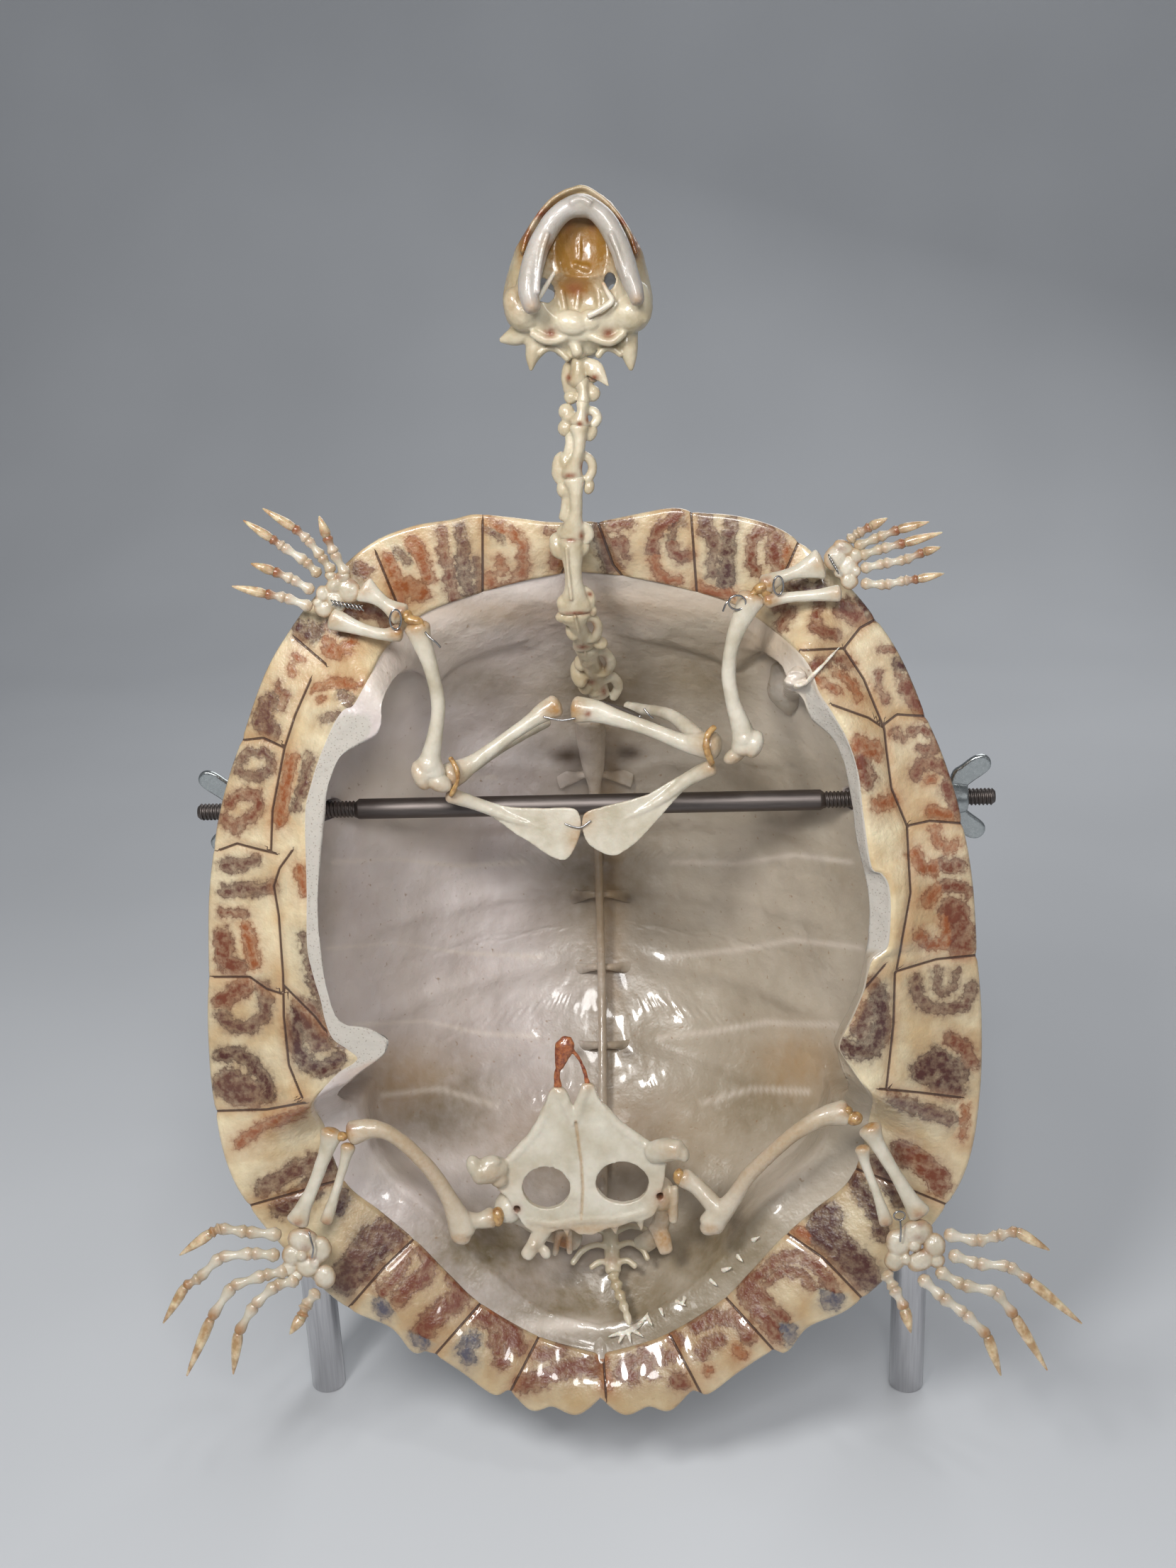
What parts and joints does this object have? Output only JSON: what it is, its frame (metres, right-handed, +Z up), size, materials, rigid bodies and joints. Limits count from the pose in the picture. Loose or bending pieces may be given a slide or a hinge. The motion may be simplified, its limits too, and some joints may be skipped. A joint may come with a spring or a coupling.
{
  "type": "turtle skeleton",
  "caption": "Varnished skeleton of a freshwater turtle with its lower shell removed, hung by the upper shell on a steel rod between two posts.",
  "frame": {"origin": "on the floor, midway between the feet of the two posts", "axes": "+Z up along the posts towards the head, +X to the right of someone who looks into the hollow of the shell, +Y away from them"},
  "size_m": [0.2554, 0.1225, 0.3724],
  "materials": {
    "bone": "varnished satin",
    "skull_bone": "varnished satin",
    "shell": "varnished gloss",
    "dried_tissue": "satin",
    "rod_steel": "dull",
    "post_steel": "polished",
    "zinc": "bright zinc"
  },
  "bodies": {
    "root": {"mandible": "bone", "pelvis": "bone", "scapula_left": "bone", "scapula_right": "bone", "coracoid_left": "bone", "coracoid_right": "bone", "humerus_left": "bone", "humerus_right": "bone", "radius_left": "bone", "radius_right": "bone", "ulna_left": "bone", "ulna_right": "bone", "carpus_left": "bone", "carpus_right": "bone", "femur_left": "bone", "femur_right": "bone", "tibia_left": "bone", "tibia_right": "bone", "fibula_left": "bone", "fibula_right": "bone", "tarsus_left": "bone", "tarsus_right": "bone", "finger_left_1": "bone", "finger_left_2": "bone", "finger_left_3": "bone", "finger_left_4": "bone", "finger_left_5": "bone", "finger_right_1": "bone", "finger_right_2": "bone", "finger_right_3": "bone", "finger_right_4": "bone", "finger_right_5": "bone", "toe_left_1": "bone", "toe_left_2": "bone", "toe_left_3": "bone", "toe_left_4": "bone", "toe_left_5": "bone", "toe_right_1": "bone", "toe_right_2": "bone", "toe_right_3": "bone", "toe_right_4": "bone", "toe_right_5": "bone", "skull": "skull_bone", "atlas": "skull_bone", "axis": "skull_bone", "cervical_3": "skull_bone", "cervical_4": "skull_bone", "cervical_5": "skull_bone", "cervical_6": "skull_bone", "cervical_7": "skull_bone", "cervical_8": "skull_bone", "sacrum": "skull_bone", "tail": "skull_bone", "carapace": "shell", "epipubic_tip": "dried_tissue", "cross_rod": "rod_steel", "post_left": "post_steel", "post_right": "post_steel", "wing_nut_left": "zinc", "wing_nut_right": "zinc"}
  },
  "joints": []
}
